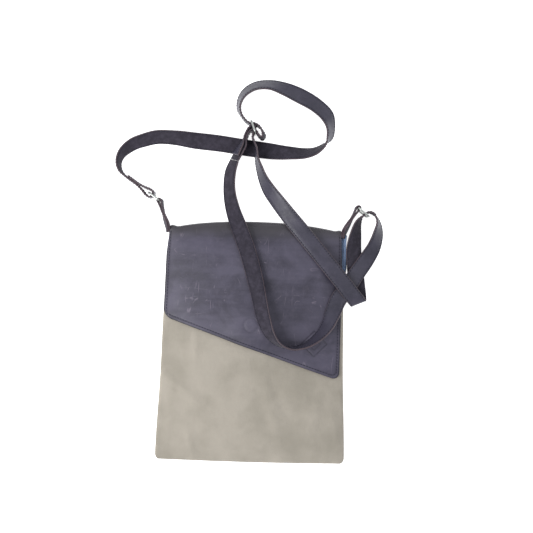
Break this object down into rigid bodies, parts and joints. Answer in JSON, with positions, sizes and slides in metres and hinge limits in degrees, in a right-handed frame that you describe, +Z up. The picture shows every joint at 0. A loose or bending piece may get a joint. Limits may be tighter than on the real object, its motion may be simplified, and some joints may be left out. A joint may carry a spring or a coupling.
{
  "type": "satchel bag",
  "caption": "Flat canvas satchel lying on its back, with a slanted leather flap, magnetic snap, side tabs with rings and a leather shoulder strap.",
  "frame": {"origin": "middle of the bag's back face, where it rests on its back: halfway across, and halfway between the bottom seam and the top corners", "axes": "+Z up out of the front of the bag, +Y towards its top edge, +X to the right as seen from the front"},
  "size_m": [0.4037, 0.577, 0.0507],
  "materials": {
    "canvas": "plain-woven beige cotton canvas, matt",
    "flap_leather": "dark grey-violet pull-up leather, soft sheen, scuffed",
    "flap_backing": "dark split leather, matt",
    "tab_leather": "dark grey-violet leather, two plies sewn",
    "strap_leather": "dark grey-violet leather, smooth outside and brushed inside",
    "lining": "light blue woven cotton lining",
    "nickel": "bright nickel plate",
    "snap_metal": "pale antique brass",
    "magnet": "dark sintered ferrite"
  },
  "bodies": {
    "root": {"back_panel": "canvas", "back_yoke": "flap_leather", "back_lining": "lining", "front_panel": "canvas", "front_lining": "lining", "snap_socket": "snap_metal", "snap_magnet": "magnet", "snap_socket_washer": "snap_metal", "left_tab": "tab_leather", "right_tab": "tab_leather", "shoulder_strap": "strap_leather"},
    "flap": {"flap_leather": "flap_leather", "flap_backing": "flap_backing", "snap_stud": "snap_metal", "snap_stud_washer": "snap_metal"},
    "left_ring": {"left_ring": "nickel"},
    "right_ring": {"right_ring": "nickel"},
    "slider": {"strap_slider": "nickel", "strap_sewn_end": "strap_leather"}
  },
  "joints": [
    {"name": "flap_hinge", "type": "hinge", "parent": "root", "child": "flap", "pos_m": [0, 0.1845, 0.004], "axis": [-1, 0, 0], "range_deg": [0, 115], "deforming": ["shoulder_strap"]},
    {"name": "left_ring_swing", "type": "hinge", "parent": "root", "child": "left_ring", "pos_m": [-0.144, 0.214, 0.0167], "axis": [0, 0, 1], "range_deg": [-8, 8], "deforming": ["shoulder_strap"]},
    {"name": "right_ring_swing", "type": "hinge", "parent": "root", "child": "right_ring", "pos_m": [0.152, 0.211, 0.0167], "axis": [0, 0, 1], "range_deg": [-8, 8], "deforming": ["shoulder_strap"]},
    {"name": "slider_slide", "type": "slide", "parent": "root", "child": "slider", "axis": [0.3426, -0.9395, 0], "range_m": [-0.012, 0.012], "deforming": ["shoulder_strap", "strap_sewn_end"]}
  ]
}
